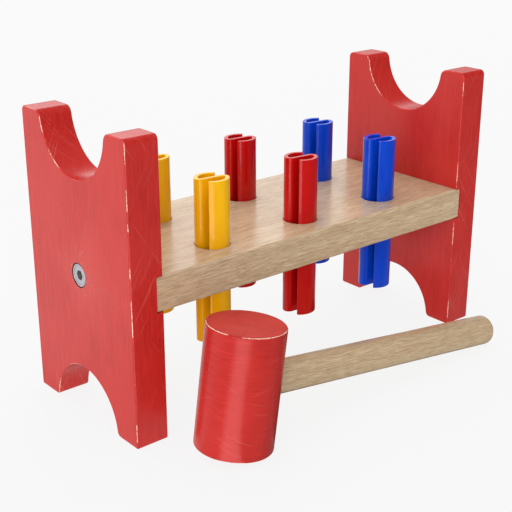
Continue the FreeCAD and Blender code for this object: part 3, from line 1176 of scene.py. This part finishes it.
# %% [markdown]
# Gloss mirrors what stands round the table, so the floor has a second look that only mirrored rays
# see. Its far side is bright and its near side dim, as in a studio where the backdrop is lit. A
# window's light is a wedge of it, three times as bright. Its point has to lie under what mirrors it,
# so there are two: a near one under the mallet's head, which draws the soft band down the head, and
# a far one under the bench, which draws the line down each peg. A fainter wedge lies further left,
# and a dark patch close behind the head draws the head's dark edge. Angles on the floor are in
# radians from the way to the window, and the edges of a wedge are where it starts, is full, wanes
# and ends.

# %% A window's light on the floor
window_azimuth = -50
window_light = 3.2


def towards(azimuth, elevation=0):
    """A direction, from degrees round the toy and up. The front is at 0 and the right side at 90."""
    turn, climb = math.radians(azimuth), math.radians(elevation)
    return Vector((math.sin(turn) * math.cos(climb), -math.cos(turn) * math.cos(climb), math.sin(climb)))


def turn_from_window(tree, steps):
    """The angle between a way on the floor and the way to the window."""
    aside = add(tree, "VectorMath", [steps, towards(window_azimuth + 90)], 1, operation="DOT_PRODUCT")
    ahead = add(tree, "VectorMath", [steps, towards(window_azimuth)], 1, operation="DOT_PRODUCT")
    return add(tree, "Math", [aside, ahead], operation="ARCTAN2")


def window_wedge(tree, turn, edges):
    """A wedge of light with soft edges."""
    start, full, wane, end = edges
    rising = add(tree, "MapRange", [turn, start, full, 0, window_light], **soft_ends)
    falling = add(tree, "MapRange", [turn, end, wane, 0, 1], **soft_ends)
    return add(tree, "Math", [falling, rising], operation="MULTIPLY")


# %% What gloss mirrors in the floor
near_edges = (-0.52, -0.2, 0.28, 0.36)
far_edges = (-0.28, -0.16, 0.22, 0.34)
near_reach, near_full = 0.21, 0.18
side_edge, side_full, side_light = -1.02, -1.15, 0.7
dim_y, bright_y, dim_light = -0.15, 0.15, 0.06
shade_edge, shade_full, shade_depth = 1.85, 2.05, 0.65

from_head = add(tree, "VectorMath", [spot, (head_middle.x, head_middle.y, 0)], operation="SUBTRACT")
distance = add(tree, "VectorMath", [from_head], 1, operation="LENGTH")
near = add(tree, "MapRange", [distance, near_reach, near_full], **soft_ends)
turn_at_head = turn_from_window(tree, from_head)
near_window = window_wedge(tree, turn_at_head, near_edges)
far_window = window_wedge(tree, turn_from_window(tree, spot), far_edges)
window = add(tree, "Mix", {factor: near, number_a: far_window, number_b: near_window})
side_window = add(tree, "MapRange", [turn_at_head, side_edge, side_full, 0, side_light], **soft_ends)
depth = add(tree, "SeparateXYZ", [spot], "Y")
mirrored = add(tree, "MapRange", [depth, dim_y, bright_y, dim_light, 1], **soft_ends)
shade = add(tree, "Math", [turn_at_head], operation="ABSOLUTE")
shade = add(tree, "MapRange", [shade, shade_edge, shade_full, 0, shade_depth], **soft_ends)
shade = add(tree, "Math", [shade, near], operation="MULTIPLY")
mirrored = add(tree, "Math", [mirrored, shade], operation="SUBTRACT")
for light in (window, side_window):
    mirrored = add(tree, "Math", [mirrored, light], operation="MAXIMUM")
print("the window lies at", window_azimuth, "degrees and is", window_light, "times as bright as the floor")

# %% Mix the floor
backdrop = linear("F7F7F7")
own_colour = 0.93
light_from_below = 1.2
strength = 1.0
for ray, light in (("Is Glossy Ray", mirrored), ("Is Diffuse Ray", light_from_below)):
    strength = add(tree, "Mix", {factor: light_path.outputs[ray], number_a: strength, number_b: light})
glow = add(tree, "Emission", {"Color": backdrop, "Strength": strength})
matt = add(tree, "BsdfDiffuse", {"Color": linear("EFEFEF")})
lit = 0.0
for ray in ("Is Camera Ray", "Is Diffuse Ray", "Is Glossy Ray", "Is Transmission Ray"):
    lit = add(tree, "Math", [light_path.outputs[ray], own_colour, lit], operation="MULTIPLY_ADD")
finished(floor_paint, add(tree, "MixShader", [lit, matt, glow]))
close_piece()

# %% [markdown]
# The world gives the even light from all round. It is brighter overhead than at its rim, and dimmer
# towards the right front, so that every piece has a shaded side. In gloss it is dark but for a bright
# band above the far horizon. A table gives the band's lower and upper edge: how high each starts and
# ends, and the share of the light before and after it.

# %% Light from all round
dome_low = 0.36
dome_high = 1.6
dome_right = 0.6
dome_right_azimuth = 50
dome_right_full = 0.9
back_from, back_full = 0.2, 0.9
front_light, back_light = 0.02, 2.25
band_edges = ((0.12, 0.34, 0.22, 1), (0.42, 0.65, 1, 0.3))
world = bpy.data.worlds.new("Pale studio")
bpy.context.scene.world = world
world.use_nodes = True
tree = world.node_tree
tree.nodes.clear()
light_path = tree.nodes.new("ShaderNodeLightPath")
direction = add(tree, "TexCoord", output="Generated")
depth = add(tree, "SeparateXYZ", [direction], "Y")
climb = add(tree, "SeparateXYZ", [direction], "Z")
rightwards = add(tree, "VectorMath", [direction, towards(dome_right_azimuth)], 1, operation="DOT_PRODUCT")
rightwards = add(tree, "MapRange", [rightwards, 0, dome_right_full, 1, dome_right], **soft_ends)
dome = add(tree, "MapRange", [climb, 0, 1, dome_low, dome_high])
dome = add(tree, "Math", [dome, rightwards], operation="MULTIPLY")
mirrored = add(tree, "MapRange", [depth, back_from, back_full, front_light, back_light], **soft_ends)
for low, high, before, after in band_edges:
    band = add(tree, "MapRange", [climb, low, high, before, after], **soft_ends)
    mirrored = add(tree, "Math", [mirrored, band], operation="MULTIPLY")
strength = dome
for ray, light in (("Is Glossy Ray", mirrored), ("Is Camera Ray", 1.0), ("Is Transmission Ray", 1.0)):
    strength = add(tree, "Mix", {factor: light_path.outputs[ray], number_a: strength, number_b: light})
sky = add(tree, "Background", {"Color": backdrop, "Strength": strength})
tree.links.new(sky, tree.nodes.new("ShaderNodeOutputWorld").inputs["Surface"])
print(world.name, "has", len(tree.nodes), "nodes")

# %% [markdown]
# Three soft lamps give the light its direction. Only the key is mirrored in gloss. The other two
# would show there as hard white patches, which the world's bright band already stands for.

# %% Three lamps
toy_middle = (Vector(cad_box[0]) + Vector(cad_box[1])) / 2


def soft_light(name, azimuth, elevation, distance, width, height, energy, mirrored):
    """A rectangular lamp that looks at the toy, and that gloss may or may not mirror."""
    back = towards(azimuth, elevation)
    bpy.ops.object.light_add(type="AREA", location=toy_middle + back * distance)
    lamp = bpy.context.object
    lamp.name = name
    lamp.rotation_euler = back.to_track_quat("Z", "Y").to_euler()
    lamp.data.shape = "RECTANGLE"
    lamp.data.size = width
    lamp.data.size_y = height
    lamp.data.energy = energy
    lamp.visible_camera = False
    lamp.visible_glossy = mirrored
    print(name, "lamp:", energy, "W from", azimuth, "degrees, at a height of", elevation)


soft_light("key", -57, 16, distance=2.4, width=2.1, height=1.275, energy=27.3, mirrored=True)
soft_light("back", 180, 15, distance=6.4, width=3.6, height=3.4, energy=200, mirrored=False)
soft_light("side", 140, 38, distance=6.4, width=3.6, height=3.6, energy=120, mirrored=False)

# %% [markdown]
# The camera's place and lens were worked out from the toy's outline in the photograph. The focal
# length came out in pixels of that picture, so it is turned to the millimetres of a lens.

# %% Set up the camera
picture_pixels = 512
focal_pixels = 1066.137
camera_target = Vector((-0.01008, 0.02565, 0.06192))
camera_distance = 0.6203
camera_azimuth = -40.068
camera_elevation = 20.872

bpy.ops.object.camera_add()
camera = bpy.context.object
camera.data.sensor_width = 36
camera.data.lens = focal_pixels / picture_pixels * camera.data.sensor_width
view_from = towards(camera_azimuth, camera_elevation)
camera.location = camera_target + view_from * camera_distance
camera.rotation_euler = view_from.to_track_quat("Z", "Y").to_euler()
bpy.context.scene.camera = camera
bpy.context.scene.view_settings.view_transform = "Standard"
close_piece()
print("the camera's lens is", round(camera.data.lens, 1), "mm")
